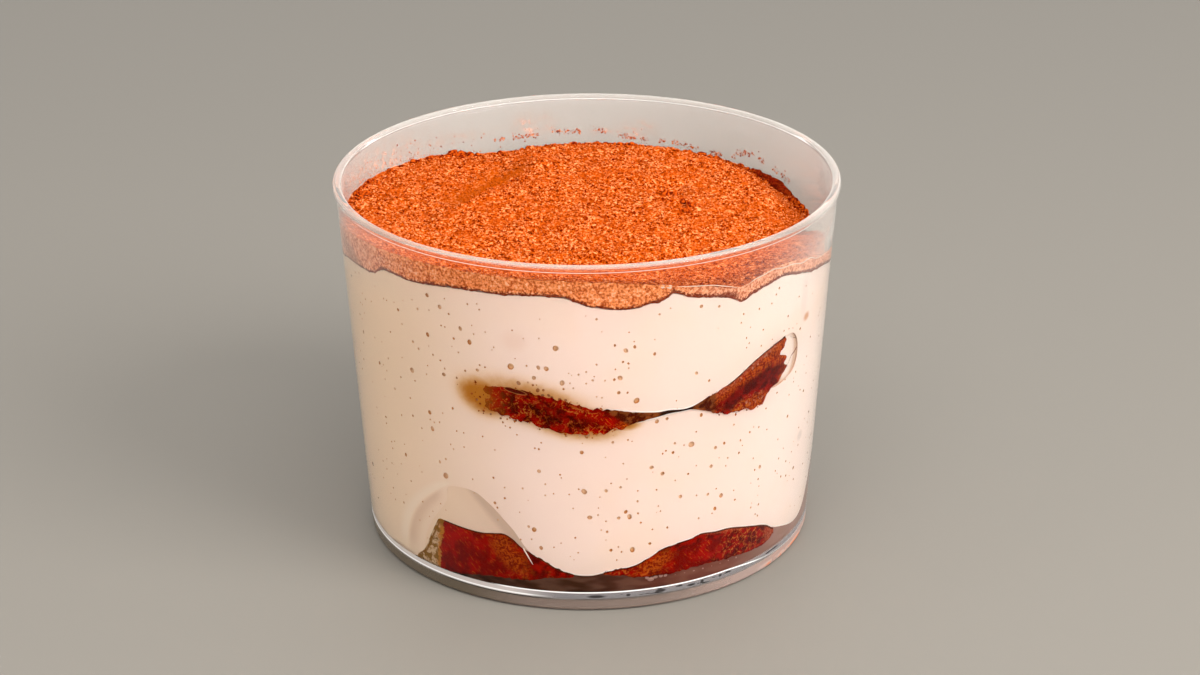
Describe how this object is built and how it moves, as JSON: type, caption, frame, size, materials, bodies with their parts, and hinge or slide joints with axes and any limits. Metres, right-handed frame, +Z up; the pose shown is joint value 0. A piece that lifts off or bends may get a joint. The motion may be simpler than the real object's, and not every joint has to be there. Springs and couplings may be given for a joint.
{
  "type": "tiramisu in a clear plastic cup",
  "caption": "Tiramisu portion in a clear tapered plastic cup: soaked ladyfingers, thick mascarpone cream and a loose cocoa topping.",
  "frame": {"origin": "centre of the cup's foot, on the surface that it stands on", "axes": "+Z up along the cup's axis; -Y is the side that faces the viewer, where the ladyfingers press against the wall; +X to the viewer's right"},
  "size_m": [0.088, 0.088, 0.0647],
  "materials": {
    "clear_plastic": "clear rigid polystyrene, glossy, very slightly milky, with a smooth rolled rim",
    "soaked_sponge": "coffee-soaked sponge finger, wet and dark red-brown with paler crumb",
    "mascarpone_cream": "dense ivory cream with small air bubbles where it meets the wall",
    "cocoa_powder": "loose dry cocoa powder, matt and grainy"
  },
  "bodies": {
    "root": {"cup": "clear_plastic", "ladyfinger_bottom_front": "soaked_sponge", "ladyfinger_bottom_back": "soaked_sponge", "cream_lower": "mascarpone_cream", "ladyfinger_middle_front": "soaked_sponge", "ladyfinger_middle_back": "soaked_sponge", "cream_upper": "mascarpone_cream", "cocoa": "cocoa_powder"}
  },
  "joints": []
}
